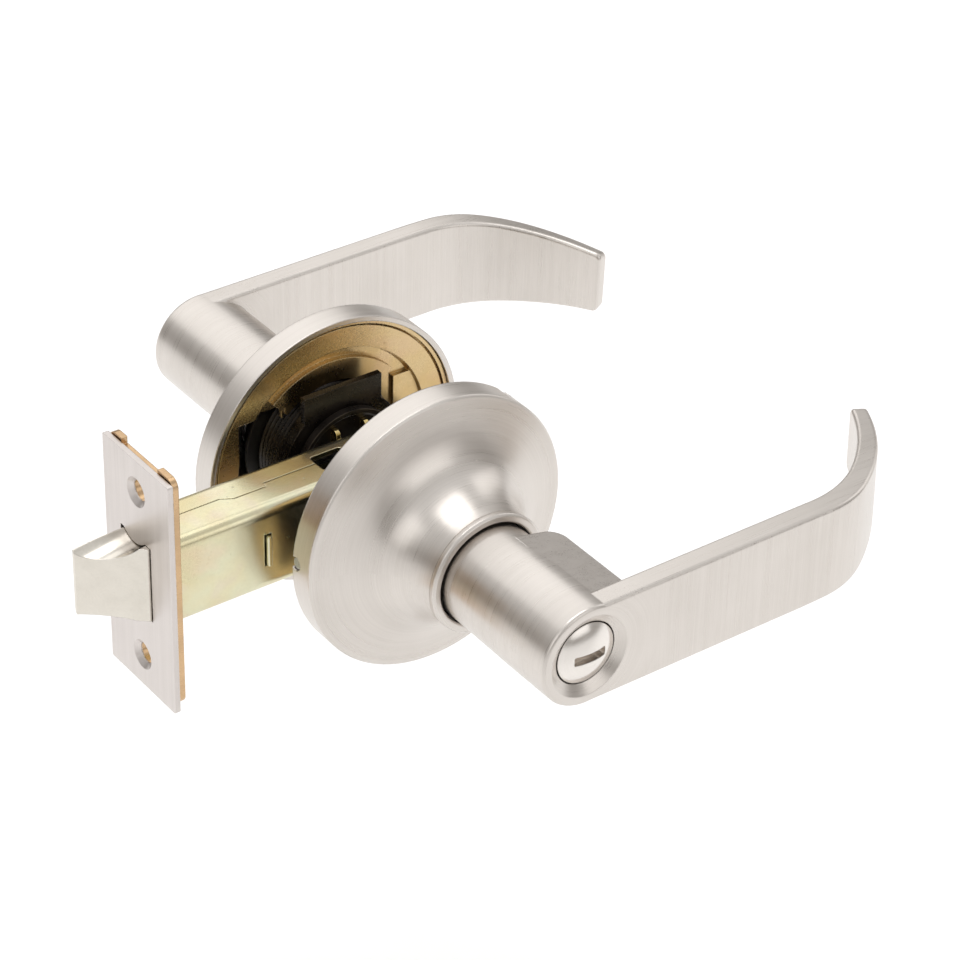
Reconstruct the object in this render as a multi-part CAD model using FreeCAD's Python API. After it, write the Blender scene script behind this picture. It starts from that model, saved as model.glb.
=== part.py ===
"""Door lever set with a coin-slot privacy button and a spring latch, as separate pieces.

Millimetres. The spindle axis is Y, the origin is on it at the door's mid-plane, +Z is up.
The levers reach along +X and the latch runs to its faceplate at -X.  The coin button is on
the -Y side ("front"), the thumb turn on the +Y side ("back").

Every piece of a side is drawn once for the back, with Y as its distance from the door's
middle.  The front side is the same piece turned half a turn about X.
"""
import FreeCAD, Part
import math
import os
from FreeCAD import Placement, Rotation, Vector

# ---------------------------------------------------------------- driving dimensions
BACKSET = 60.0            # spindle axis to the faceplate's front
DOOR_HALF = 16.0          # half the gap between the two roses
GAP = 0.3                 # between pieces that move past each other
FIT = 0.05                # radial clearance of a running fit

ROSE_R = 32.5
ROSE_RIM_TOP = 22.3       # where the straight rim ends
ROSE_WALL = 1.2
NECK_TOP = 41.0
NECK_R = 13.9
NECK_BORE_R = 12.15

SHANK_R = 11.85
SHANK_FOOT_R = 11.6
SHANK_FOOT = 37.5
SHANK_BORE_R = 9.95
SHANK_BORE_TOP = 64.0
FACE_TOP = 75.3           # outer face of the lever
BACK_SET_IN = 2.8         # the back lever sits this much further on
GRIP_HIGH = 11.8          # the grip's falling edge, above the axis
GRIP_LOW = 11.35          # the grip's other edge, below the axis
GRIP_BACK = 69.8          # inner face of the grip
GRIP_LEAN = 0.03          # sideways lean of the bend's axis, mm per mm of height
TIP_DROP = 8.0            # how far the upper edge has fallen at the tip
TIP_RISE = 1.2            # how far the lower edge has risen there
TIP_CORNER = 1.6
WEB_REACH = 13.5          # how far the web reaches along the grip
WEB_SLOPE = 12.6          # degrees
EDGE_ROUND = 0.8          # on the lever's edges

BUTTON_R = 7.1
BUTTON_POCKET_R = 7.4
RECESS_R = 9.7
RECESS_DEPTH = 1.5

SLEEVE_TOP = 62.4
SPINDLE_SIDE = 6.35
ROD_R = 1.95

LATCH_HALF_Y = 7.5
LATCH_HALF_Z = 10.5
LATCH_CORNER_R = 2.5
LATCH_WALL = 1.0
LATCH_END_X = 15.6
RIVET_X = 11.8
RIVET_R = 1.5
BOLT_TIP_X = -72.0
BOLT_BACK_Y = 6.2
BOLT_FRONT_Y = -4.7
BOLT_HALF_Z = 9.1
FLUTE_R = 6.2
FLUTE_Y = 1.4
FLUTE_Z = 13.4            # height of the flute's axis at the faceplate
FLUTE_TILT = 9.5          # degrees, deeper towards the tip

FACEPLATE_T = 1.3
FACEPLATE_HALF_Y = 12.7
FACEPLATE_HALF_Z = 28.5
BACKPLATE_T = 1.4
SCREW_HALF_SPACING = 20.65
SCREW_HOLE_R = 2.3
SCREW_SINK_R = 3.5

TIE_R = 2.0
TIE_HEAD_Y = 20.25
TIE_PLACES = ((20.5, 0.0), (0.0, -21.2))   # x, z of the two tie screws
CLIP_ANGLES = (183.0, -50.0)              # rose clips, from +X towards +Z on the back

X_AXIS = Vector(1, 0, 0)
Y_AXIS = Vector(0, 1, 0)
Z_AXIS = Vector(0, 0, 1)
ORIGIN = Vector(0, 0, 0)


# ---------------------------------------------------------------- small helpers
def box(x0, x1, y0, y1, z0, z1):
    """Box between two corners."""
    return Part.makeBox(x1 - x0, y1 - y0, z1 - z0, Vector(x0, y0, z0))


def rod_y(radius, y0, y1, x=0.0, z=0.0):
    """Cylinder along Y from y0 to y1."""
    return Part.makeCylinder(radius, y1 - y0, Vector(x, y0, z), Y_AXIS)


def rod_x(radius, x0, x1, y=0.0, z=0.0):
    """Cylinder along X from x0 to x1."""
    return Part.makeCylinder(radius, x1 - x0, Vector(x0, y, z), X_AXIS)


def ring_y(outer, inner, y0, y1):
    """Plain ring about the Y axis."""
    return rod_y(outer, y0, y1).cut(rod_y(inner, y0 - 1, y1 + 1))


def turned(edges):
    """Solid of revolution about Y from a closed outline drawn in the X-Y plane."""
    face = Part.Face(Part.Wire(Part.__sortEdges__(edges)))
    return face.revolve(ORIGIN, Y_AXIS, 360)


def line(a, b):
    """Straight edge between two (x, y) points."""
    return Part.makeLine(Vector(a[0], a[1], 0), Vector(b[0], b[1], 0))


def lines(points):
    """Straight edges through a list of (x, y) points."""
    return [line(a, b) for a, b in zip(points[:-1], points[1:])]


def smooth(points):
    """One smooth edge through a list of (x, y) points."""
    curve = Part.BSplineCurve()
    curve.interpolate([Vector(x, y, 0) for x, y in points])
    return curve.toShape()


def turned_polygon(points):
    """Solid of revolution about Y of a straight-sided outline."""
    return turned(lines(points + [points[0]]))


def square_bar(side, y0, y1):
    """Square bar along Y."""
    half = side / 2
    return box(-half, half, y0, y1, -half, half)


def rounded_bar_x(half_y, half_z, radius, x0, x1):
    """Bar along X with a rounded rectangular section."""
    bar = box(x0, x1, -half_y, half_y, -half_z, half_z)
    long_edges = [e for e in bar.Edges if abs(e.tangentAt(e.FirstParameter).x) > 0.99]
    return bar.makeFillet(radius, long_edges)


def sector(r_out, r_in, y0, y1, angle0, angle1):
    """Part of a ring about Y between two angles, measured from +X towards +Z."""
    start = Vector(math.cos(math.radians(angle0)), 0, math.sin(math.radians(angle0)))
    a = Vector(start.x * r_in, y0, start.z * r_in)
    b = Vector(start.x * r_out, y0, start.z * r_out)
    face = Part.Face(Part.makePolygon([a, b, b + Vector(0, y1 - y0, 0), a + Vector(0, y1 - y0, 0), a]))
    return face.revolve(ORIGIN, -Y_AXIS, angle1 - angle0)


def helix_y(radius, pitch, turns, wire_half, y0):
    """Square wire wound about Y."""
    path = Part.makeHelix(pitch, pitch * turns, radius)
    corners = [(-wire_half, -wire_half), (wire_half, -wire_half), (wire_half, wire_half), (-wire_half, wire_half)]
    section = Part.makePolygon([Vector(radius + x, 0, z) for x, z in corners + corners[:1]])
    coil = Part.Wire(path.Edges).makePipeShell([section], True, True)
    coil.Placement = Placement(Vector(0, y0, 0), Rotation(X_AXIS, -90))
    return coil


def to_front(shape):
    """The same piece on the front side: half a turn about X."""
    turned_piece = shape.copy()
    turned_piece.rotate(ORIGIN, X_AXIS, 180)
    return turned_piece


def moved(shape, x=0.0, y=0.0, z=0.0):
    """Copy of a shape, moved."""
    copy = shape.copy()
    copy.translate(Vector(x, y, z))
    return copy


def joined(shapes):
    """One solid from touching shapes, without seams."""
    return shapes[0].fuse(list(shapes[1:])).removeSplitter()


# ---------------------------------------------------------------- lever casting
def arc_points(x0, y0, angle0, angle1, radius):
    """Start, middle and end of an arc that turns from heading angle0 to angle1 (degrees)."""
    a0, am, a1 = (math.radians(a) for a in (angle0, (angle0 + angle1) / 2, angle1))
    spot = lambda a: (x0 + radius * (math.sin(a) - math.sin(a0)),
                      y0 - radius * (math.cos(a0) - math.cos(a)))
    return (x0, y0), spot(am), spot(a1)


def arc_edge(points):
    """Arc through three (x, y) points."""
    a, b, c = (Vector(x, y, 0) for x, y in points)
    return Part.Arc(a, b, c).toShape()


def grip_profile():
    """Grip seen from above: straight, then bent towards the door in two arcs a side."""
    outer_1 = arc_points(64.0, FACE_TOP, 0, 30, 24.0)
    outer_2 = arc_points(*outer_1[2], 30, 66.5, 52.0)
    inner_1 = arc_points(62.0, GRIP_BACK, 0, 35, 28.0)
    inner_2 = arc_points(*inner_1[2], 35, 62.5, 52.0)
    edges = [line((0, GRIP_BACK), (0, FACE_TOP)), line((0, FACE_TOP), outer_1[0])]
    edges += [arc_edge(outer_1), arc_edge(outer_2), line(outer_2[2], inner_2[2])]
    edges += [arc_edge(inner_2), arc_edge(inner_1), line(inner_1[0], (0, GRIP_BACK))]
    return Part.Face(Part.Wire(Part.__sortEdges__(edges)))


def grip_elevation():
    """Grip seen from the front: lower edge almost straight, upper edge falling towards the tip."""
    reach = 110.0
    fall = [(54, 0), (66, 0.3), (78, 1.7), (90, 4.8), (reach - 11, TIP_DROP), (reach, TIP_DROP + 4.2)]
    rise = [(60, 0), (75, 0.2), (88, 0.6), (reach - 11, TIP_RISE), (reach, TIP_RISE + 0.9)]
    upper = Part.BSplineCurve()
    upper.interpolate([Vector(x, 60, GRIP_HIGH - drop) for x, drop in fall])
    lower = Part.BSplineCurve()
    lower.interpolate([Vector(x, 60, lift - GRIP_LOW) for x, lift in rise])
    far_top, far_low = upper.EndPoint, lower.EndPoint
    straight = Part.makePolygon([lower.StartPoint, Vector(0, 60, -GRIP_LOW), Vector(0, 60, GRIP_HIGH),
                                 upper.StartPoint])
    edges = straight.Edges + [upper.toShape(), lower.toShape(), Part.makeLine(far_top, far_low)]
    face = Part.Face(Part.Wire(Part.__sortEdges__(edges)))
    return face.extrude(Vector(0, 30, 0)).fuse(face.extrude(Vector(0, -30, 0))).removeSplitter()


def grip():
    """Bent grip with soft edges."""
    height = GRIP_HIGH + GRIP_LOW + 2
    profile = grip_profile()
    profile.translate(Vector(-GRIP_LEAN * height / 2, 0, -GRIP_LOW - 1))
    blank = profile.extrude(Vector(GRIP_LEAN * height, 0, height))
    bar = blank.common(grip_elevation())
    corners = [e for e in bar.Edges if e.BoundBox.YMax < 48 and e.Length < 5]
    bar = bar.makeFillet(TIP_CORNER, corners)
    return bar.makeFillet(EDGE_ROUND, [e for e in bar.Edges if e.BoundBox.XMax > 1])


def web():
    """Wedge between shank and grip; its flat side leaves the shank along a tangent."""
    slope = math.radians(WEB_SLOPE)
    start = Vector(SHANK_R * math.sin(slope), 46.0, 0.1 - SHANK_R * math.cos(slope))
    end = Vector(WEB_REACH, 46.0, start.z + (WEB_REACH - start.x) * math.tan(slope))
    outline = [Vector(0, 46.0, 0), Vector(0, 46.0, -9.0), start, end, Vector(WEB_REACH, 46.0, 0)]
    block = Part.Face(Part.makePolygon(outline + outline[:1])).extrude(Vector(0, GRIP_BACK - 45.0, 0))
    corner = [e for e in block.Edges if e.BoundBox.XMin > WEB_REACH - 0.1 and e.BoundBox.YMax < 47
              and e.BoundBox.ZLength > 5]
    return block.makeFillet(3.5, corner)


def lever_casting(catch_side):
    """Hollow shank, grip and the web between them, with the button's pocket in the end."""
    shank = turned_polygon([(0, SHANK_FOOT), (SHANK_FOOT_R, SHANK_FOOT), (SHANK_R, 60),
                            (SHANK_R, FACE_TOP), (0, FACE_TOP)])
    shank = shank.makeFillet(EDGE_ROUND, [e for e in shank.Edges if e.BoundBox.YMin > FACE_TOP - 0.01])
    body = joined([shank, web(), grip()])
    bore = rod_y(SHANK_BORE_R, SHANK_FOOT - 1, SHANK_BORE_TOP)
    pocket = rod_y(BUTTON_POCKET_R, FACE_TOP - 6.3, FACE_TOP + 1)
    stem_hole = rod_y(3.6, SHANK_BORE_TOP - 1, FACE_TOP)
    recess = turned_polygon([(0, FACE_TOP - RECESS_DEPTH), (BUTTON_POCKET_R, FACE_TOP - RECESS_DEPTH),
                             (RECESS_R, FACE_TOP), (RECESS_R, FACE_TOP + 1), (0, FACE_TOP + 1)])
    catch_hole = Part.makeCylinder(1.6, 14, Vector(0, 50, 0), Vector(0, 0, catch_side))
    for hollow in (bore, pocket, stem_hole, recess, catch_hole):
        body = body.cut(hollow)
    return body


# ---------------------------------------------------------------- rose and what it covers
def rose():
    """Flared cover: straight rim, crease, bell and neck with a small lip."""
    bell = [(32.1, ROSE_RIM_TOP), (28, 23.2), (24, 24.5), (20, 26.8), (17, 30.0), (15.2, 33.6), (14.2, 37.2),
            (NECK_R, 39.2)]
    hollow = [(31.3, 21.0), (27, 22.1), (23, 23.6), (19, 26.1), (16, 29.6), (14.2, 32.8), (13.1, 36.0)]
    outside = lines([(ROSE_R - ROSE_WALL, DOOR_HALF), (ROSE_R, DOOR_HALF), (ROSE_R, ROSE_RIM_TOP - 0.4), bell[0]])
    lip = lines([bell[-1], (14.25, 39.4), (14.25, 40.5), (13.75, NECK_TOP), (12.6, NECK_TOP), (NECK_BORE_R, 40.6),
                 (NECK_BORE_R, 36.0), hollow[-1]])
    close = lines([hollow[0], (ROSE_R - ROSE_WALL, DOOR_HALF)])
    shell = turned(outside + [smooth(bell)] + lip + [smooth(hollow)] + close)
    for angle in CLIP_ANGLES:
        shell = shell.cut(at_angle(rod_x(1.6, 28, 36, DOOR_HALF + 1.1), angle))
    return shell


def at_angle(shape, angle):
    """Turn a piece drawn at +X about the Y axis, from +X towards +Z."""
    copy = shape.copy()
    copy.rotate(ORIGIN, Y_AXIS, -angle)
    return copy


def mounting_plate():
    """Stamped plate inside the rose: rolled edge, groove, flat ring, well, arched rib and pad."""
    ring = turned_polygon([
        (31.15, 16.9), (31.15, 19.9), (28.9, 19.9), (28.9, 18.2), (25.3, 18.2), (24.9, 20.2), (16.2, 20.2),
        (16.2, 19.2), (24.1, 19.2), (24.6, 17.2), (29.8, 17.2), (30.0, 18.9), (30.3, 18.9), (30.3, 16.9)])
    rib = sector(21.8, 16.6, 17.8, 19.4, 42, 133)
    pad = box(16.8, 25.2, 18.3, 19.6, -12, 12).common(rod_y(24.9, 17, 21))
    plate = joined([ring, rib, pad])
    window = box(-24.2, -12, 16, 22, -14.2, 14.2)
    plate = plate.cut(window).cut(rod_y(16.2, 16, 21.5))
    for x, z in TIE_PLACES:
        plate = plate.cut(rod_y(TIE_R + 0.15, 16, 22, x, z))
    return plate


def rose_clips():
    """Two spring clips that hold the rose to the plate and show in the rim's notches."""
    clip = rod_x(1.25, 31.45, 32.1, DOOR_HALF + 1.1)
    return Part.makeCompound([at_angle(clip, a) for a in CLIP_ANGLES])


HUB_R = 15.6
HUB_BORE_R = 10.25


def threaded_hub():
    """Black threaded hub through the plate."""
    pitch = 1.25
    points = [(HUB_BORE_R, 16.0), (HUB_R - 0.5, 16.0)]
    for i in range(6):
        y = 16.0 + i * pitch
        points += [(HUB_R - 0.5, y + 0.15), (HUB_R, y + 0.5), (HUB_R, y + 0.8), (HUB_R - 0.5, y + pitch)]
    points += [(HUB_R - 0.5, 23.6), (HUB_BORE_R, 23.6)]
    clean = [p for i, p in enumerate(points) if i == 0 or p != points[i - 1]]
    return turned_polygon(clean)


def chassis_cap():
    """Black end cap of the chassis: a disc with two square-cornered ears."""
    cap = rod_y(HUB_R - 0.2, 13.0, 16.0).fuse(box(-10, 10, 13.0, 14.6, -18, 18)).removeSplitter()
    return cap.cut(rod_y(HUB_BORE_R, 12, 17))


def spring_cup():
    """Black cup that holds the return spring."""
    cup = turned_polygon([(11.2, 23.7), (18.2, 23.7), (18.2, 24.6), (16.6, 26.4), (15.9, 28.3), (11.2, 28.3),
                          (11.2, 27.4), (15.1, 27.4), (15.5, 25.8), (15.5, 24.6), (11.2, 24.6)])
    return cup


def return_spring():
    """Torsion spring inside the cup."""
    return helix_y(12.9, 1.0, 2.0, 0.35, 25.0)


def neck_bush():
    """Plastic bush between the neck and the shank."""
    return ring_y(NECK_BORE_R - 0.02, SHANK_R + 0.03, 36.2, 39.0)


# ---------------------------------------------------------------- pieces that turn with the levers
def drive_sleeve(reach):
    """Steel sleeve that carries the lever, closed by a square socket for the spindle."""
    tube = ring_y(SHANK_BORE_R - 0.05, 8.7, 12.6, reach)
    end = rod_y(8.7, reach - 2.0, reach).cut(square_bar(SPINDLE_SIDE + 0.1, reach - 3, reach + 1))
    return joined([tube, end])


def drive_disc():
    """Black dished disc on the sleeve's inner end."""
    disc = turned_polygon([(0, 11.2), (11.2, 11.2), (11.8, 10.6), (12.8, 10.6), (12.8, 12.4), (0, 12.4)])
    disc = disc.cut(square_bar(SPINDLE_SIDE + 0.1, 10, 13))
    for x in (-3.8, 3.8):
        disc = disc.cut(box(x - 0.6, x + 0.6, 10, 13, 6.2, 9.8))
    return disc


def disc_tabs():
    """Two brass tabs that stand through the disc."""
    tab = box(-0.5, 0.5, 9.2, 12.4, 6.3, 9.7)
    tip = [e for e in tab.Edges if e.BoundBox.YMax < 9.3 and abs(e.tangentAt(e.FirstParameter).x) > 0.99]
    tab = tab.makeFillet(1.2, tip)
    return Part.makeCompound([moved(tab, x=-3.8), moved(tab, x=3.8)])


def circlip():
    """Retaining ring on the sleeve, open at the bottom."""
    return ring_y(11.0, SHANK_BORE_R, 29.0, 30.0).cut(box(-1.6, 1.6, 28, 31, -12, -8))


def lever_catch(side):
    """Spring catch that locks the lever on its sleeve, in the shank's lower or upper wall."""
    pin = Part.makeCylinder(1.5, 1.5, Vector(0, 50, side * (SHANK_BORE_R + 0.1)), Vector(0, 0, side))
    return pin


# ---------------------------------------------------------------- spindle and privacy pieces
def spindle():
    """Square spindle with a round bore for the privacy rod."""
    return square_bar(SPINDLE_SIDE, -62.5, 62.5 - BACK_SET_IN).cut(rod_y(ROD_R + FIT, -64, 64))


def privacy_rod():
    """Flatted rod that joins the coin button and the thumb turn."""
    rod = rod_y(ROD_R, -68.5, 68.5 - BACK_SET_IN)
    return rod.cut(box(-3, 3, -67, 66, 1.1, 3))


def button_stem(y0, y1):
    """Stem that takes the end of the rod."""
    return rod_y(3.3, y0, y1).cut(rod_y(ROD_R + 0.02, y0 - 1, 68.6))


def coin_button():
    """Domed button with a coin slot, drawn for the back and turned to the front."""
    dome_r = 13.2
    rim = FACE_TOP - 1.45
    crown = rod_y(BUTTON_R, rim - 3.5, rim + 2.6)
    ball = Part.makeSphere(dome_r, Vector(0, rim + 2.05 - dome_r, 0))
    skirt = rod_y(BUTTON_R, rim - 3.5, rim)
    head = joined([crown.common(ball), skirt])
    slot = box(-3.9, 3.9, rim - 1.8, rim + 4, -1.1, 1.1)
    slot = slot.makeFillet(0.4, [e for e in slot.Edges if abs(e.tangentAt(e.FirstParameter).y) > 0.99])
    return joined([head.cut(slot), button_stem(63.0, rim - 3.4)])


def turn_button():
    """Low thumb turn in the back lever."""
    rim = FACE_TOP - 1.45 - BACK_SET_IN
    disc = rod_y(BUTTON_R, rim - 3.5, rim + 0.4)
    wing = box(-6.0, 6.0, rim, rim + 4.4, -1.6, 1.6)
    upright = [e for e in wing.Edges if abs(e.tangentAt(e.FirstParameter).y) > 0.99]
    wing = wing.makeFillet(1.5, upright)
    wing = wing.makeFillet(0.8, [e for e in wing.Edges if e.BoundBox.YMin > rim + 4.3])
    stem = rod_y(3.3, 63.0 - BACK_SET_IN, rim - 3.4).cut(rod_y(ROD_R + 0.02, 55, 68.6 - BACK_SET_IN))
    return joined([disc, wing, stem])


# ---------------------------------------------------------------- latch
def bolt_section(x0, x1, shrink):
    """Bolt's outer block, smaller all round by shrink."""
    return box(x0, x1, BOLT_FRONT_Y + shrink, BOLT_BACK_Y - shrink, -BOLT_HALF_Z + shrink, BOLT_HALF_Z - shrink)


def flute(radius, tilt):
    """Hollow along the bolt's top, about an axis that dips towards the tip."""
    cylinder = rod_x(radius, -40, 40, FLUTE_Y, 0)
    cylinder.rotate(Vector(0, FLUTE_Y, 0), Y_AXIS, -tilt)
    cylinder.translate(Vector(-BACKSET, 0, FLUTE_Z))
    return cylinder


def latch_bolt():
    """Latch head: bevelled on the front, fluted on top, slightly hollowed below."""
    head = bolt_section(BOLT_TIP_X, -46.0, 0)
    back_edges = [e for e in head.Edges
                  if abs(e.tangentAt(e.FirstParameter).x) > 0.99 and e.BoundBox.YMin > 5]
    head = head.makeFillet(1.6, back_edges)
    bevel = Part.Face(Part.makePolygon([
        Vector(BOLT_TIP_X - 1, -20, -15), Vector(BOLT_TIP_X - 1, BOLT_BACK_Y + 0.3, -15),
        Vector(BOLT_TIP_X, BOLT_BACK_Y - 0.6, -15), Vector(-BACKSET - 0.5, BOLT_FRONT_Y, -15),
        Vector(-BACKSET - 0.5, -20, -15), Vector(BOLT_TIP_X - 1, -20, -15)])).extrude(Vector(0, 0, 30))
    head = head.cut(bevel).cut(flute(FLUTE_R, FLUTE_TILT))
    hollow = rod_x(20, -80, -40, FLUTE_Y + 1, -BOLT_HALF_Z - 19.3)
    return head.cut(hollow)


def bolt_stem():
    """Round stem from the head through the guide plate."""
    return rod_x(3.0, -46.0, -24.0)


def bolt_fork():
    """Fork that straddles the hub, with the two bars that its fingers pull."""
    block = box(-24.0, -21.0, -6.0, 6.0, -8.0, 8.0)
    tines = [box(-22.0, 2.6, y - 0.7, y + 0.7, z - 0.9, z + 0.9) for y in (-5.2, 5.2) for z in (-7.6, 7.6)]
    bars = [box(1.6, 2.6, -5.2, 5.2, z - 0.8, z + 0.8) for z in (-7.6, 7.6)]
    return joined([block] + tines + bars)


def bolt_spring():
    """Compression spring between the head and the guide plate."""
    coil = helix_y(4.3, 1.5, 7.2, 0.4, 0)
    coil.rotate(ORIGIN, Z_AXIS, -90)
    coil.translate(Vector(-45.4, 0, 0))
    return coil


def latch_hub():
    """Hub turned by the spindle, with an upper and a lower finger."""
    journal = rod_y(6.2, -7.4, 7.4)
    fingers = [box(-1.3, 1.3, -4.1, 4.1, 0, 8.3), box(-1.3, 1.3, -4.1, 4.1, -8.3, 0)]
    hub = joined([journal] + fingers)
    return hub.cut(square_bar(SPINDLE_SIDE + 0.05, -9, 9))


def latch_case():
    """Folded steel case with a joggled seam along the top and a window near the spindle."""
    start = -BACKSET + FACEPLATE_T + 0.2 + BACKPLATE_T
    shell = rounded_bar_x(LATCH_HALF_Y, LATCH_HALF_Z, LATCH_CORNER_R, start, LATCH_END_X)
    inside = rounded_bar_x(LATCH_HALF_Y - LATCH_WALL, LATCH_HALF_Z - LATCH_WALL, LATCH_CORNER_R - LATCH_WALL,
                           start - 1, LATCH_END_X - LATCH_WALL)
    shell = shell.cut(inside)
    shell = shell.cut(rod_y(6.2 + FIT, -9, 9)).cut(rod_y(RIVET_R, -9, 9, RIVET_X))
    top = LATCH_HALF_Z
    seam = [(start - 1, 1.0), (-39.5, 1.0), (-36.8, -0.5), (-28.9, -0.5), (-28.6, 0.9), (-15.0, 0.9)]
    width = 0.22
    left = [Vector(x, y + width / 2, top - 2) for x, y in seam]
    right = [Vector(x, y - width / 2, top - 2) for x, y in reversed(seam)]
    slit = Part.Face(Part.makePolygon(left + right + [left[0]])).extrude(Vector(0, 0, 4))
    window = box(-15.4, -7.5, -2.2, 3.4, top - 2, top + 1)
    window = window.makeFillet(0.8, [e for e in window.Edges if abs(e.tangentAt(e.FirstParameter).z) > 0.99])
    tab_slots = box(-33.9, -32.1, -9, 9, -4.0, 4.0)
    return shell.cut(slit).cut(window).cut(tab_slots)


def guide_plate():
    """Plate across the case, staked through its side walls, that guides the stem."""
    inner = box(-33.6, -32.4, -LATCH_HALF_Y + LATCH_WALL + 0.1, LATCH_HALF_Y - LATCH_WALL - 0.1, -8.3, 8.3)
    tabs = box(-33.6, -32.4, -8.5, 8.5, -3.7, 3.7)
    tabs = tabs.makeFillet(0.4, [e for e in tabs.Edges if abs(e.tangentAt(e.FirstParameter).x) < 0.01])
    return joined([inner, tabs]).cut(rod_x(3.0 + GAP, -35, -31))


def case_rivet():
    """Cross rivet that holds the end of the case together."""
    shank = rod_y(RIVET_R, -LATCH_HALF_Y - 0.1, LATCH_HALF_Y + 0.1, RIVET_X)
    heads = [rod_y(2.4, y, y + 0.6, RIVET_X) for y in (-LATCH_HALF_Y - 0.6, LATCH_HALF_Y)]
    return joined([shank] + heads)


def faceplate_blank(x0, x1, half_y, z0, z1, corner):
    """Plate across X with rounded corners."""
    plate = box(x0, x1, -half_y, half_y, z0, z1)
    edges = [e for e in plate.Edges if abs(e.tangentAt(e.FirstParameter).x) > 0.99]
    return plate.makeFillet(corner, edges)


def bolt_opening(x0, x1):
    """Hole for the bolt, with a ridge that follows the bolt's flute."""
    hole = box(x0, x1, BOLT_FRONT_Y - GAP, BOLT_BACK_Y + 0.6, -BOLT_HALF_Z - GAP, BOLT_HALF_Z + 0.1)
    return hole.cut(rod_x(FLUTE_R - GAP, x0 - 1, x1 + 1, FLUTE_Y, FLUTE_Z))


def latch_faceplate():
    """Square-cornered faceplate with two countersunk holes."""
    x0 = -BACKSET
    x1 = x0 + FACEPLATE_T
    plate = faceplate_blank(x0, x1, FACEPLATE_HALF_Y, -FACEPLATE_HALF_Z, FACEPLATE_HALF_Z, 0.4)
    plate = plate.cut(bolt_opening(x0 - 1, x1 + 1))
    for z in (-SCREW_HALF_SPACING, SCREW_HALF_SPACING):
        plate = plate.cut(rod_x(SCREW_HOLE_R, x0 - 1, x1 + 1, 0, z))
        sink = Part.makeCone(SCREW_SINK_R, SCREW_HOLE_R, FACEPLATE_T * 0.8, Vector(x0, 0, z), X_AXIS)
        plate = plate.cut(sink)
    return plate


def latch_backplate():
    """Plated backplate behind the faceplate, hollowed along its top edge."""
    x0 = -BACKSET + FACEPLATE_T + 0.2
    x1 = x0 + BACKPLATE_T
    plate = faceplate_blank(x0, x1, 12.2, -27.3, 29.2, 2.2)
    plate = plate.cut(box(x0 - 1, x1 + 1, BOLT_FRONT_Y - 0.5, BOLT_BACK_Y + 0.5, -BOLT_HALF_Z - 0.3, BOLT_HALF_Z + 0.3))
    plate = plate.cut(box(x0 - 1, x1 + 1, -6.5, 7.5, 27.6, 31))
    for z in (-SCREW_HALF_SPACING, SCREW_HALF_SPACING):
        plate = plate.cut(rod_x(SCREW_HOLE_R + 0.5, x0 - 1, x1 + 1, 0, z))
    return plate


# ---------------------------------------------------------------- tie screws
def tie_posts():
    """Threaded posts on the front plate."""
    posts = []
    for (x, z), foot in zip(TIE_PLACES, (-18.2, -17.7)):
        posts.append(rod_y(2.95, foot, 2.0, x, z).cut(rod_y(TIE_R + FIT, -22, 3, x, z)))
    return Part.makeCompound(posts)


def tie_screws():
    """Pan-head screws from the back plate into the posts."""
    screws = []
    for x, z in TIE_PLACES:
        head_y = TIE_HEAD_Y
        shank = rod_y(TIE_R, -12.0, head_y, x, z)
        head = rod_y(3.6, head_y, head_y + 1.9, x, z)
        head = head.makeFillet(0.8, [e for e in head.Edges if e.BoundBox.YMin > head_y + 1.8])
        cross = box(x - 2.2, x + 2.2, head_y + 1.0, head_y + 3, z - 0.4, z + 0.4)
        cross = cross.fuse(box(x - 0.4, x + 0.4, head_y + 1.0, head_y + 3, z - 2.2, z + 2.2))
        screws.append(joined([shank, head]).cut(cross))
    return Part.makeCompound(screws)


# ---------------------------------------------------------------- all the pieces
def side_pieces():
    """Every piece that both sides have, as drawn for the back."""
    return {
        "rose": rose(), "mounting_plate": mounting_plate(), "rose_clips": rose_clips(),
        "threaded_hub": threaded_hub(), "chassis_cap": chassis_cap(), "spring_cup": spring_cup(),
        "return_spring": return_spring(), "neck_bush": neck_bush(), "drive_disc": drive_disc(),
        "disc_tabs": disc_tabs(), "circlip": circlip(),
    }


def all_pieces():
    """Node name to shape, for the whole set."""
    pieces = {}
    for name, shape in side_pieces().items():
        pieces["back_" + name] = shape
        pieces["front_" + name] = to_front(shape)
    pieces["front_lever"] = to_front(lever_casting(1))
    pieces["back_lever"] = moved(lever_casting(-1), y=-BACK_SET_IN)
    pieces["front_drive_sleeve"] = to_front(drive_sleeve(SLEEVE_TOP))
    pieces["back_drive_sleeve"] = drive_sleeve(SLEEVE_TOP - BACK_SET_IN)
    pieces["front_lever_catch"] = to_front(lever_catch(1))
    pieces["back_lever_catch"] = moved(lever_catch(-1), y=-BACK_SET_IN)
    pieces["spindle"] = spindle()
    pieces["privacy_rod"] = privacy_rod()
    pieces["coin_button"] = to_front(coin_button())
    pieces["turn_button"] = turn_button()
    pieces["latch_hub"] = latch_hub()
    pieces["latch_bolt"] = latch_bolt()
    pieces["bolt_stem"] = bolt_stem()
    pieces["bolt_fork"] = bolt_fork()
    pieces["bolt_spring"] = bolt_spring()
    pieces["latch_case"] = latch_case()
    pieces["latch_guide_plate"] = guide_plate()
    pieces["latch_case_rivet"] = case_rivet()
    pieces["latch_faceplate"] = latch_faceplate()
    pieces["latch_backplate"] = latch_backplate()
    pieces["tie_posts"] = tie_posts()
    pieces["tie_screws"] = tie_screws()
    return pieces


def main():
    """Write one STEP file per piece."""
    os.makedirs("parts", exist_ok=True)
    for name, shape in all_pieces().items():
        shape.exportStep(os.path.join("parts", name + ".step"))
        print(f"{name:22s} solids {len(shape.Solids)} valid {shape.isValid()} volume {shape.Volume:9.1f}")


main()
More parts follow.
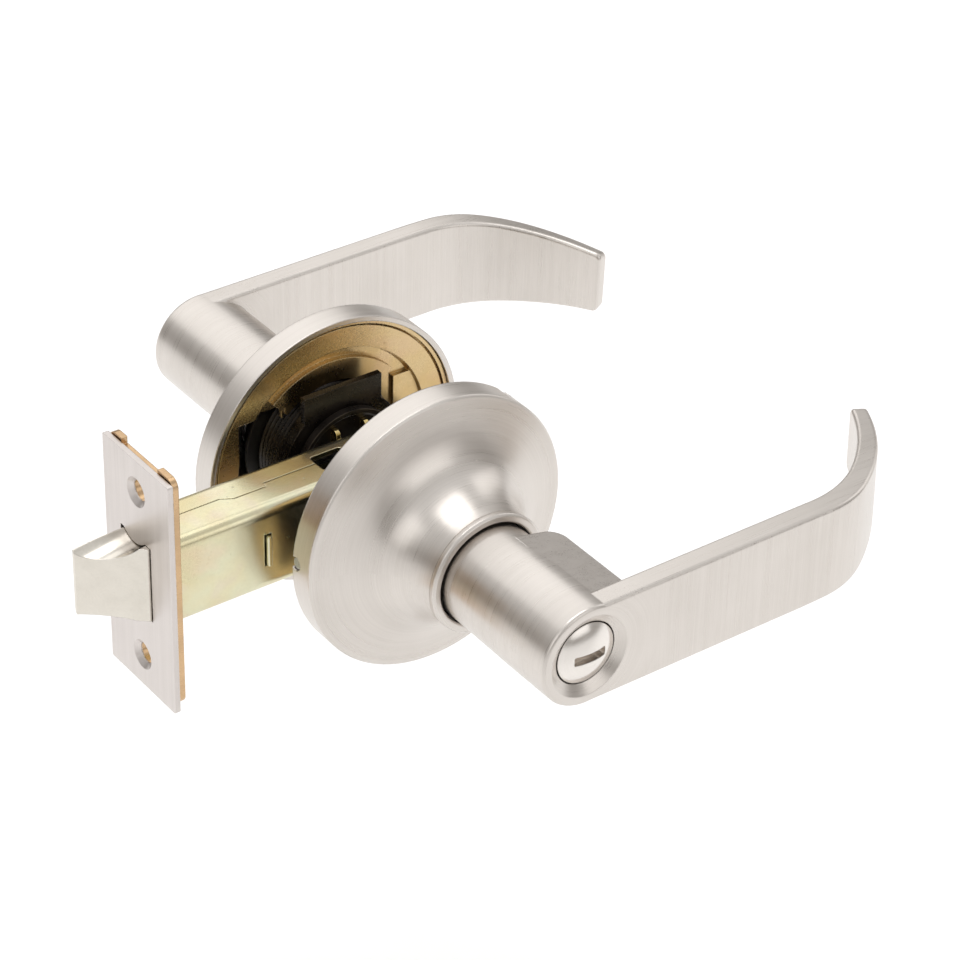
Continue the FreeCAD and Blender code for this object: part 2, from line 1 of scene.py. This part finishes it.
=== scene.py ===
"""Looks of a privacy door lever set: satin nickel outside, yellow zinc and black steel inside.

The CAD pieces keep their shapes.  Each sub-assembly below dresses its own pieces with
procedural finishes, and the studio adds a pale floor, soft lights and the camera.
"""

import logging
import math
from dataclasses import dataclass
from enum import Enum
from typing import Any, Dict, Iterable, List, Sequence, Tuple, Union

import bpy
from mathutils import Matrix, Vector


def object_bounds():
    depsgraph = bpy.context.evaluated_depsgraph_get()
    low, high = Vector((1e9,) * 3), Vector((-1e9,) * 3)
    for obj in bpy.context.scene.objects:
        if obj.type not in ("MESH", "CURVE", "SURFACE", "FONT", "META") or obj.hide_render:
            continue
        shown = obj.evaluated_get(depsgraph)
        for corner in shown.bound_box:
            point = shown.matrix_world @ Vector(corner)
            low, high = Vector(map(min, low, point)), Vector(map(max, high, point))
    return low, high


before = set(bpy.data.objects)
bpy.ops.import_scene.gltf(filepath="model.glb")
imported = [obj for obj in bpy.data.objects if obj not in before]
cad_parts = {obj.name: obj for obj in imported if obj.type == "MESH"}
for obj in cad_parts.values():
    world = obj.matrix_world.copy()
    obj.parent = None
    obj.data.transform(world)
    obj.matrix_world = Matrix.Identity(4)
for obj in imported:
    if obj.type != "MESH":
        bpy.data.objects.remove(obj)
CAD_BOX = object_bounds()

LOG = logging.getLogger("lever_set")
Colour = Tuple[float, float, float]
Value = Union[float, Sequence[float], "Signal"]


FULL_TURN = 2 * math.pi


def scaled(colour: Colour, factor: float) -> Colour:
    """A colour made lighter or darker, held at 1.

    Args:
        colour: red, green and blue.
        factor: what each is multiplied by.

    Returns:
        The new colour.
    """
    return tuple(min(1.0, c * factor) for c in colour)


class Side(Enum):
    """The two sides of the door."""

    FRONT = "front"
    BACK = "back"

    def node(self, piece: str) -> str:
        """Name of this side's copy of a piece."""
        return f"{self.value}_{piece}"


class Grain(Enum):
    """Which way the brushing of a metal runs."""

    ALONG_X = "along x"
    ALONG_Y = "along y"
    ALONG_Z = "along z"
    ROUND_Y = "round y"
    LEVER = "round the shank, then along the grip"


# ---------------------------------------------------------------- shader graphs
class Signal:
    """A shader socket that takes part in Python arithmetic."""

    def __init__(self, graph: "Graph", socket: bpy.types.NodeSocket) -> None:
        """Wraps a socket.

        Args:
            graph: the graph that the socket belongs to.
            socket: an output socket of one of its nodes.
        """
        self.graph = graph
        self.socket = socket

    def _math(self, operation: str, first: Value, second: Value) -> "Signal":
        """Adds a Math node for one operation."""
        return self.graph.node("ShaderNodeMath", {"operation": operation}, {0: first, 1: second})

    def __add__(self, other: Value) -> "Signal":
        """Sum with a number or a signal."""
        return self._math("ADD", self, other)

    def __radd__(self, other: Value) -> "Signal":
        """Sum with a number on the left."""
        return self._math("ADD", other, self)

    def __sub__(self, other: Value) -> "Signal":
        """Difference from this signal."""
        return self._math("SUBTRACT", self, other)

    def __rsub__(self, other: Value) -> "Signal":
        """Difference from a number on the left."""
        return self._math("SUBTRACT", other, self)

    def __mul__(self, other: Value) -> "Signal":
        """Product with a number or a signal."""
        return self._math("MULTIPLY", self, other)

    def __rmul__(self, other: Value) -> "Signal":
        """Product with a number on the left."""
        return self._math("MULTIPLY", other, self)

    def __pow__(self, other: Value) -> "Signal":
        """Power of this signal."""
        return self._math("POWER", self, other)

    def clamped(self) -> "Signal":
        """The signal held between 0 and 1."""
        return self.graph.node("ShaderNodeClamp", {}, {0: self})

    def step(self, low: float, high: float) -> "Signal":
        """Smooth step of the signal from 0 at low to 1 at high."""
        return self.graph.node("ShaderNodeMapRange", {"interpolation_type": "SMOOTHSTEP"},
                               {0: self, 1: low, 2: high, 3: 0.0, 4: 1.0})


class Graph:
    """The node tree of a material or a world, built by expressions."""

    def __init__(self, owner: Union[bpy.types.Material, bpy.types.World]) -> None:
        """Starts an empty tree.

        Args:
            owner: the material or world whose nodes are built.
        """
        owner.use_nodes = True
        self.tree = owner.node_tree
        self.tree.nodes.clear()

    def node(self, kind: str, settings: Dict[str, Any], inputs: Dict[Union[int, str], Value],
             output: Union[int, str] = 0) -> Signal:
        """Adds one node.

        Args:
            kind: the node's type name.
            settings: what is set on the node first; "stops" fills a colour ramp.
            inputs: socket name or number to a number, a tuple or a signal.
            output: the socket to return.

        Returns:
            The chosen output as a signal.
        """
        made = self.tree.nodes.new(kind)
        for name, value in settings.items():
            if name == "stops":
                self._fill_ramp(made.color_ramp, value)
            else:
                setattr(made, name, value)
        for key, value in inputs.items():
            if isinstance(value, Signal):
                self.tree.links.new(value.socket, made.inputs[key])
            else:
                made.inputs[key].default_value = value
        return Signal(self, made.outputs[output]) if len(made.outputs) else Signal(self, None)

    @staticmethod
    def _fill_ramp(ramp: bpy.types.ColorRamp, stops: Sequence[Tuple[float, Colour]]) -> None:
        """Sets the stops of a colour ramp."""
        while len(ramp.elements) > 1:
            ramp.elements.remove(ramp.elements[-1])
        for index, (place, colour) in enumerate(stops):
            element = ramp.elements[0] if index == 0 else ramp.elements.new(place)
            element.position = place
            element.color = (*colour, 1.0)

    def ramp(self, factor: Signal, stops: Sequence[Tuple[float, Colour]]) -> Signal:
        """Colour ramp over a signal."""
        return self.node("ShaderNodeValToRGB", {"stops": stops}, {0: factor})

    def blend(self, factor: Value, first: Value, second: Value, mode: str = "MIX") -> Signal:
        """Mixes two colours.

        Args:
            factor: how much of the second shows.
            first: a colour as a tuple of three or a signal.
            second: the same.
            mode: the blend type.

        Returns:
            The mixed colour.
        """
        first, second = (v if isinstance(v, Signal) else (*v, 1.0) for v in (first, second))
        settings = {"data_type": "RGBA", "blend_type": mode, "clamp_factor": True}
        return self.node("ShaderNodeMix", settings, {0: factor, 6: first, 7: second}, 2)

    def place(self) -> Signal:
        """Position on the object, in metres."""
        return self.node("ShaderNodeTexCoord", {}, {}, "Object")

    def normal(self) -> Signal:
        """Surface normal."""
        return self.node("ShaderNodeNewGeometry", {}, {}, "Normal")

    def split(self, vector: Signal) -> List[Signal]:
        """The X, Y and Z of a vector."""
        first = self.node("ShaderNodeSeparateXYZ", {}, {0: vector})
        return [Signal(self, socket) for socket in first.socket.node.outputs]

    def join(self, x: Value, y: Value, z: Value) -> Signal:
        """A vector from three values."""
        return self.node("ShaderNodeCombineXYZ", {}, {0: x, 1: y, 2: z})

    def stretch(self, vector: Signal, factors: Colour) -> Signal:
        """A vector multiplied axis by axis."""
        return self.node("ShaderNodeVectorMath", {"operation": "MULTIPLY"}, {0: vector, 1: factors})

    def noise(self, vector: Signal, scale: float = 1.0, detail: float = 3.0,
              rough: float = 0.55) -> Signal:
        """Fractal noise from 0 to 1."""
        return self.node("ShaderNodeTexNoise", {},
                         {"Vector": vector, "Scale": scale, "Detail": detail, "Roughness": rough})

    def cells(self, vector: Signal, scale: float) -> Signal:
        """Distance to the nearest of a scatter of points."""
        return self.node("ShaderNodeTexVoronoi", {"feature": "F1"},
                         {"Vector": vector, "Scale": scale})

    def specks(self, here: Signal, scale: float, reach: Tuple[float, float], patch_scale: float,
               patches: Tuple[float, float]) -> Signal:
        """Small dots that come in patches.

        Args:
            here: a position.
            scale: dots per metre.
            reach: distance where a dot starts to fade and where it has gone.
            patch_scale: patches per metre.
            patches: noise where a patch starts and where it is full.

        Returns:
            A mask that is 1 on the dots.
        """
        dots = 1.0 - self.cells(here, scale).step(*reach)
        return dots * self.noise(here, patch_scale, 2.0).step(*patches)

    def around(self, vector: Signal) -> Signal:
        """Radius, angle and length about the Y axis, for turned marks.

        Args:
            vector: a position.

        Returns:
            A vector of radius, angle times 0.01 and length along the axis.
        """
        x, y, z = self.split(vector)
        radius = (x * x + z * z) ** 0.5
        angle = self.node("ShaderNodeMath", {"operation": "ARCTAN2"}, {0: z, 1: x})
        return self.join(radius, angle * 0.01, y)

    def brushing(self, grain: Grain, pitch: float) -> Signal:
        """Fine parallel marks.

        Args:
            grain: which way they run.
            pitch: their usual spacing in metres.

        Returns:
            Marks from 0 to 1.
        """
        fine, slow = 1.0 / pitch, 0.012 / pitch
        here = self.place()
        if grain is Grain.LEVER:
            turned = self.noise(self.stretch(self.around(here), (fine, slow, fine)))
            across = self.noise(self.stretch(here, (fine, fine, slow)))
            along = self.noise(self.stretch(here, (slow, fine, fine)))
            rise = self.split(self.normal())[2]
            upright = self.node("ShaderNodeMath", {"operation": "ABSOLUTE"}, {0: rise})
            flat = along + (across - along) * (1.0 - upright.step(0.55, 0.85))
            return turned + (flat - turned) * self.split(here)[0].step(0.012, 0.020)
        if grain is Grain.ROUND_Y:
            return self.noise(self.stretch(self.around(here), (fine, slow, fine)))
        factors = {Grain.ALONG_X: (slow, fine, fine), Grain.ALONG_Y: (fine, slow, fine),
                   Grain.ALONG_Z: (fine, fine, slow)}
        return self.noise(self.stretch(here, factors[grain]))

    def soft_edges(self, radius: float) -> Tuple[Signal, Signal]:
        """Rounds hard edges for the light and finds where they are.

        Args:
            radius: how far the rounding reaches, in metres.

        Returns:
            The rounded normal, and a mask that is 1 on edges, where the finishes paint a highlight.
        """
        rounded = self.node("ShaderNodeBevel", {"samples": 6}, {"Radius": radius})
        alike = self.node("ShaderNodeVectorMath", {"operation": "DOT_PRODUCT"},
                          {0: rounded, 1: self.normal()}, "Value")
        return rounded, ((1.0 - alike) * 7.0).clamped()

    def bumps(self, height: Signal, strength: float, distance: float, normal: Signal) -> Signal:
        """Bump normal from a height, on top of another normal."""
        return self.node("ShaderNodeBump", {}, {"Height": height, "Strength": strength,
                                                "Distance": distance, "Normal": normal})

    def surface(self, **sockets: Value) -> None:
        """Ends a material in a Principled shader.

        Args:
            **sockets: socket names with _ for spaces, to values or signals.
        """
        inputs = {name.replace("_", " "): value for name, value in sockets.items()}
        shader = self.node("ShaderNodeBsdfPrincipled", {}, inputs)
        self.node("ShaderNodeOutputMaterial", {}, {"Surface": shader})


# ---------------------------------------------------------------- finishes
@dataclass(frozen=True)
class SatinNickel:
    """Nickel plate, brushed and lightly lacquered."""

    name: str
    tone: Colour = (0.670, 0.628, 0.588)
    roughness: float = 0.30
    grain: Grain = Grain.ROUND_Y
    pitch: float = 0.00022
    depth: float = 0.000006
    edge: float = 0.0004

    def build(self) -> bpy.types.Material:
        """Makes the material."""
        material = bpy.data.materials.new(self.name)
        g = Graph(material)
        here = g.place()
        marks = g.brushing(self.grain, self.pitch)
        broad = g.brushing(self.grain, self.pitch * 9.0)
        cloud = g.noise(here, 55.0, 2.0)
        rounded, edges = g.soft_edges(self.edge)
        light = scaled(self.tone, 1.06)
        dark = tuple(c * v for c, v in zip(self.tone, (0.93, 0.925, 0.915)))
        shade = (marks * 0.35 + broad * 0.35 + cloud * 0.30).step(0.32, 0.68)
        # Painted highlight: the edges are mixed towards a pale nickel so that they read as lit,
        # rounded edges.
        colour = g.blend(edges * 0.45, g.blend(shade, dark, light), (0.84, 0.81, 0.77))
        rough = self.roughness + (marks - 0.5) * 0.16 + (broad - 0.5) * 0.10 - edges * 0.05
        g.surface(Base_Color=colour, Metallic=1.0, Roughness=rough.clamped(),
                  Normal=g.bumps(marks + broad * 0.6, 0.45, self.depth, rounded))
        return material


@dataclass(frozen=True)
class YellowZinc:
    """Yellow passivated zinc on stamped steel, with a faint iridescence and dark pits."""

    name: str
    pale: Colour = (0.76, 0.73, 0.54)
    gold: Colour = (0.70, 0.60, 0.37)
    tint: float = 0.22
    roughness: float = 0.26
    pits: float = 0.12
    edge: float = 0.0003

    def build(self) -> bpy.types.Material:
        """Makes the material."""
        material = bpy.data.materials.new(self.name)
        g = Graph(material)
        here = g.place()
        cloud = g.noise(here, 42.0, 3.0)
        drift = g.noise(here, 95.0, 2.0)
        grit = g.noise(here, 1500.0, 2.0)
        speck = g.specks(here, 420.0, (0.04, 0.20), 160.0, (0.52, 0.66))
        rounded, edges = g.soft_edges(self.edge)
        film = g.ramp(drift, [(0.30, (0.62, 0.44, 0.42)), (0.42, (0.66, 0.58, 0.30)),
                              (0.54, (0.58, 0.62, 0.40)), (0.66, (0.70, 0.52, 0.40)),
                              (0.78, (0.50, 0.56, 0.58))])
        metal = g.blend(cloud.step(0.36, 0.66), self.pale, self.gold)
        colour = g.blend(self.tint, metal, film)
        colour = g.blend(grit.step(0.3, 0.75) * 0.08, colour, scaled(self.gold, 0.62))
        colour = g.blend(speck * self.pits, colour, (0.05, 0.035, 0.015))
        # Painted highlight: the edges are mixed towards a light gold so that they read as lit,
        # rounded edges.
        colour = g.blend(edges * 0.35, colour, (0.78, 0.66, 0.38))
        rough = self.roughness + (grit - 0.5) * 0.08 + (cloud - 0.5) * 0.14 + speck * 0.2
        g.surface(Base_Color=colour, Metallic=1.0, Roughness=rough.clamped(),
                  Normal=g.bumps(grit - speck, 0.25, 0.000008, rounded))
        return material


@dataclass(frozen=True)
class BlackSteel:
    """Black oxide with a film of oil, a few bright rubs and a painted highlight along the edges."""

    name: str
    tone: Colour = (0.020, 0.016, 0.013)
    roughness: float = 0.30
    metallic: float = 0.7
    rubs_and_edge_highlight: float = 0.5

    def build(self) -> bpy.types.Material:
        """Makes the material."""
        material = bpy.data.materials.new(self.name)
        g = Graph(material)
        here = g.place()
        cloud = g.noise(here, 120.0, 4.0)
        grit = g.noise(here, 1800.0, 2.0)
        speck = g.specks(here, 900.0, (0.05, 0.24), 260.0, (0.50, 0.62))
        rounded, edges = g.soft_edges(0.00025)
        colour = g.blend(cloud.step(0.4, 0.7), self.tone, scaled(self.tone, 2.2))
        # Bright patches on the edges: partly real rubbed wear, partly a painted edge highlight.
        colour = g.blend(edges * self.rubs_and_edge_highlight * cloud.step(0.42, 0.6), colour, (0.20, 0.16, 0.11))
        colour = g.blend(speck * 0.15, colour, (0.22, 0.17, 0.10))
        rough = self.roughness + (cloud - 0.5) * 0.35 + (grit - 0.5) * 0.2
        g.surface(Base_Color=colour, Metallic=self.metallic, Roughness=rough.clamped(),
                  Coat_Weight=0.25, Coat_Roughness=0.18,
                  Normal=g.bumps(grit + cloud, 0.3, 0.00004, rounded))
        return material


@dataclass(frozen=True)
class PlainMetal:
    """Stamped, turned or drawn metal with fine marks."""

    name: str
    tone: Colour
    roughness: float = 0.3
    grain: Grain = Grain.ALONG_X
    pitch: float = 0.0003

    def build(self) -> bpy.types.Material:
        """Makes the material."""
        material = bpy.data.materials.new(self.name)
        g = Graph(material)
        here = g.place()
        marks = g.brushing(self.grain, self.pitch)
        cloud = g.noise(here, 140.0, 3.0)
        rounded, edges = g.soft_edges(0.00025)
        colour = g.blend(cloud.step(0.3, 0.7), scaled(self.tone, 0.82), self.tone)
        # Painted highlight: the edges are lifted to a lighter tone so that they read as lit,
        # rounded edges.
        colour = g.blend(edges * 0.4, colour, scaled(self.tone, 1.3))
        rough = self.roughness + (marks - 0.5) * 0.2 + (cloud - 0.5) * 0.15
        g.surface(Base_Color=colour, Metallic=1.0, Roughness=rough.clamped(),
                  Normal=g.bumps(marks, 0.4, 0.00001, rounded))
        return material


@dataclass(frozen=True)
class Moulded:
    """Dark moulded plastic with a fine texture."""

    name: str
    tone: Colour = (0.025, 0.022, 0.020)
    roughness: float = 0.45

    def build(self) -> bpy.types.Material:
        """Makes the material."""
        material = bpy.data.materials.new(self.name)
        g = Graph(material)
        here = g.place()
        grain = g.noise(here, 2200.0, 2.0)
        cloud = g.noise(here, 150.0, 2.0)
        rounded, edges = g.soft_edges(0.0003)
        colour = g.blend(cloud, self.tone, scaled(self.tone, 1.5))
        # Painted highlight: the edges are lifted to a lighter tone so that they read as lit,
        # rounded edges.
        colour = g.blend(edges * 0.3, colour, scaled(self.tone, 3.0))
        g.surface(Base_Color=colour, Roughness=(self.roughness + (grain - 0.5) * 0.2).clamped(),
                  Normal=g.bumps(grain, 0.3, 0.00002, rounded))
        return material


class Palette:
    """The finishes, each made once."""

    def __init__(self) -> None:
        """Makes every finish of the set."""
        self.lever = SatinNickel("satin nickel lever", grain=Grain.LEVER).build()
        self.rose = SatinNickel("satin nickel rose", grain=Grain.ROUND_Y, edge=0.0005).build()
        self.plate = SatinNickel("satin nickel faceplate", (0.66, 0.615, 0.59), 0.34, Grain.ALONG_Z,
                                 0.0002, 0.000006, 0.0002).build()
        self.bolt = SatinNickel("polished nickel bolt", (0.74, 0.70, 0.63), 0.22, Grain.ALONG_Y,
                                0.00035, 0.000006, 0.0003).build()
        self.button = SatinNickel("bright nickel button", (0.80, 0.76, 0.72), 0.18, Grain.ROUND_Y,
                                  0.0003, 0.000004, 0.0004).build()
        self.case = YellowZinc("yellow zinc case").build()
        self.stamping = YellowZinc("yellow zinc plate", (0.66, 0.49, 0.27), (0.58, 0.39, 0.17),
                                   0.10, 0.28, 0.12).build()
        self.brass = PlainMetal("stamped brass", (0.66, 0.45, 0.26), 0.26).build()
        self.tabs = PlainMetal("bright brass", (0.74, 0.58, 0.26), 0.22).build()
        self.black = BlackSteel("black oxide").build()
        self.dark = BlackSteel("black oiled cup", (0.014, 0.012, 0.010), 0.4, 0.3, 0.3).build()
        self.steel = PlainMetal("clear zinc steel", (0.50, 0.50, 0.51), 0.26).build()
        self.wire = PlainMetal("spring wire", (0.36, 0.34, 0.32), 0.3).build()
        self.nylon = Moulded("dark nylon").build()


# ---------------------------------------------------------------- sub-assemblies
class Assembly:
    """Shared work of the sub-assemblies."""

    def paint(self, finishes: Dict[str, bpy.types.Material]) -> None:
        """Gives CAD pieces their finish.

        Args:
            finishes: node name to material.
        """
        for name, material in finishes.items():
            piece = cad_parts[name]
            for index in range(max(1, len(piece.data.materials))):
                if index < len(piece.data.materials):
                    piece.data.materials[index] = material
                else:
                    piece.data.materials.append(material)
            LOG.info("%s: %s", name, material.name)


@dataclass
class LeverHandle(Assembly):
    """One lever with the sleeve that carries it."""

    side: Side

    def dress(self, palette: Palette) -> None:
        """Dresses the lever and its inner parts."""
        self.paint({self.side.node("lever"): palette.lever,
                    self.side.node("lever_catch"): palette.steel,
                    self.side.node("drive_sleeve"): palette.steel,
                    self.side.node("circlip"): palette.wire})


@dataclass
class RoseStack(Assembly):
    """A rose and the plates behind it."""

    side: Side

    def dress(self, palette: Palette) -> None:
        """Dresses the rose and all that it covers."""
        self.paint({self.side.node("rose"): palette.rose,
                    self.side.node("neck_bush"): palette.nylon,
                    self.side.node("rose_clips"): palette.steel,
                    self.side.node("mounting_plate"): palette.stamping,
                    self.side.node("threaded_hub"): palette.black,
                    self.side.node("chassis_cap"): palette.black,
                    self.side.node("drive_disc"): palette.black,
                    self.side.node("disc_tabs"): palette.tabs,
                    self.side.node("spring_cup"): palette.dark,
                    self.side.node("return_spring"): palette.wire})


@dataclass
class PrivacyWork(Assembly):
    """Coin button, thumb turn and the rod between them."""

    def dress(self, palette: Palette) -> None:
        """Dresses the buttons and the rod."""
        self.paint({"coin_button": palette.button, "turn_button": palette.button,
                    "privacy_rod": palette.steel})


@dataclass
class SpringLatch(Assembly):
    """The latch, its plates and the spindle that works it."""

    def dress(self, palette: Palette) -> None:
        """Dresses the latch."""
        self.paint({"latch_case": palette.case, "latch_case_rivet": palette.steel,
                    "latch_guide_plate": palette.case, "latch_faceplate": palette.plate,
                    "latch_backplate": palette.brass, "latch_bolt": palette.bolt,
                    "bolt_stem": palette.steel, "bolt_fork": palette.steel,
                    "bolt_spring": palette.wire,
                    "latch_hub": palette.steel, "spindle": palette.steel,
                    "tie_posts": palette.steel, "tie_screws": palette.steel})


# ---------------------------------------------------------------- studio
@dataclass(frozen=True)
class Softbox:
    """A soft rectangular light."""

    name: str
    place: Colour
    size: Tuple[float, float]
    power: float
    aim: Colour = (0.0, 0.0, 0.0)

    def build(self) -> None:
        """Hangs the light."""
        data = bpy.data.lights.new(self.name, "AREA")
        data.shape = "RECTANGLE"
        data.size, data.size_y = self.size
        data.energy = self.power
        lamp = bpy.data.objects.new(self.name, data)
        lamp.location = self.place
        beam = Vector(self.aim) - Vector(self.place)
        lamp.rotation_euler = beam.to_track_quat("-Z", "Y").to_euler()
        bpy.context.scene.collection.objects.link(lamp)
        LOG.info("light: %s", self.name)


@dataclass
class Studio:
    """Floor, lights, surroundings and camera."""

    floor_drop: float = 0.10
    floor_radius: float = 3.0
    floor_corners: int = 64
    floor_glow: float = 0.20
    room_strength: float = 0.8
    azimuth: float = -36.98
    elevation: float = 33.92
    roll: float = 1.54
    distance: float = 0.6585
    lens: float = 126.0
    target: Colour = (-0.01590, -0.05802, 0.03924)

    def build(self) -> None:
        """Sets up everything round the object."""
        self.floor()
        self.surroundings()
        for box in self.lights():
            box.build()
        self.camera()
        view = bpy.context.scene.view_settings
        view.view_transform = "Standard"
        view.look = "None"

    def floor(self) -> None:
        """Pale floor, a disc below the object, with painted shade greying it on the camera's side.
        """
        low = CAD_BOX[0][2] - self.floor_drop
        turns = [FULL_TURN * i / self.floor_corners for i in range(self.floor_corners)]
        ring = [(self.floor_radius * math.cos(turn), self.floor_radius * math.sin(turn), low)
                for turn in turns]
        mesh = bpy.data.meshes.new("floor")
        mesh.from_pydata(ring, [], [tuple(range(self.floor_corners))])
        material = bpy.data.materials.new("pale floor")
        g = Graph(material)
        here = g.place()
        x, y, _ = g.split(here)
        away = x * 0.6 + y * 0.8
        # Painted shade: a darker patch on the camera's side of the floor, so the metal reflects a
        # darker floor there.
        near = 1.0 - away.step(-0.34, -0.04)
        tone = g.blend(g.noise(here, 3.0, 2.0), (0.90, 0.90, 0.90), (0.93, 0.93, 0.93))
        tone = g.blend(near * 0.35, tone, (0.40, 0.39, 0.38))
        g.surface(Base_Color=tone, Roughness=0.9, Emission_Color=(1.0, 1.0, 1.0, 1.0),
                  Emission_Strength=self.floor_glow)
        mesh.materials.append(material)
        piece = bpy.data.objects.new("floor", mesh)
        bpy.context.scene.collection.objects.link(piece)
        LOG.info("floor")

    def surroundings(self) -> None:
        """Soft grey room, darkest just above the horizon and brightest overhead."""
        world = bpy.data.worlds.new("studio room")
        bpy.context.scene.world = world
        g = Graph(world)
        heading = g.node("ShaderNodeTexCoord", {}, {}, "Generated")
        height = g.split(heading)[2]
        room = g.ramp(height * 0.5 + 0.5, [(0.0, (0.9, 0.9, 0.9)), (0.50, (0.50, 0.48, 0.46)),
                                           (0.58, (0.42, 0.40, 0.38)), (0.74, (0.80, 0.79, 0.78)),
                                           (1.0, (1.0, 1.0, 1.0))])
        shader = g.node("ShaderNodeBackground", {}, {"Color": room, "Strength": self.room_strength})
        g.node("ShaderNodeOutputWorld", {}, {"Surface": shader})
        LOG.info("surroundings")

    def lights(self) -> Iterable[Softbox]:
        """The soft lights."""
        return (Softbox("overhead", (0.0, 0.15, 1.1), (0.9, 0.7), 3.4),
                Softbox("behind", (0.10, 0.94, 0.80), (1.6, 0.6), 2.1),
                Softbox("left", (-1.0, -0.5, 0.5), (0.7, 0.9), 1.5),
                Softbox("front", (0.3, -1.2, 0.5), (0.9, 0.7), 1.5),
                Softbox("right", (1.1, 0.0, 0.5), (0.6, 0.9), 1.2))

    def camera(self) -> None:
        """Camera at a three-quarter view from above the front lever."""
        a, e, r = (math.radians(v) for v in (self.azimuth, self.elevation, self.roll))
        back = Vector((math.sin(a) * math.cos(e), -math.cos(a) * math.cos(e), math.sin(e)))
        right = Vector((math.cos(a), math.sin(a), 0.0))
        up = back.cross(right)
        side = math.cos(r) * right + math.sin(r) * up
        top = -math.sin(r) * right + math.cos(r) * up
        data = bpy.data.cameras.new("camera")
        data.lens = self.lens
        data.sensor_width = 36.0
        eye = bpy.data.objects.new("camera", data)
        eye.matrix_world = Matrix.Translation(Vector(self.target) + self.distance * back) @ \
            Matrix((side, top, back)).transposed().to_4x4()
        bpy.context.scene.collection.objects.link(eye)
        bpy.context.scene.camera = eye
        LOG.info("camera")


def main() -> None:
    """Builds the studio and dresses every sub-assembly."""
    logging.basicConfig(level=logging.INFO, format="%(message)s")
    Studio().build()
    palette = Palette()
    for side in Side:
        RoseStack(side).dress(palette)
        LeverHandle(side).dress(palette)
    PrivacyWork().dress(palette)
    SpringLatch().dress(palette)


if __name__ == "__main__":
    main()
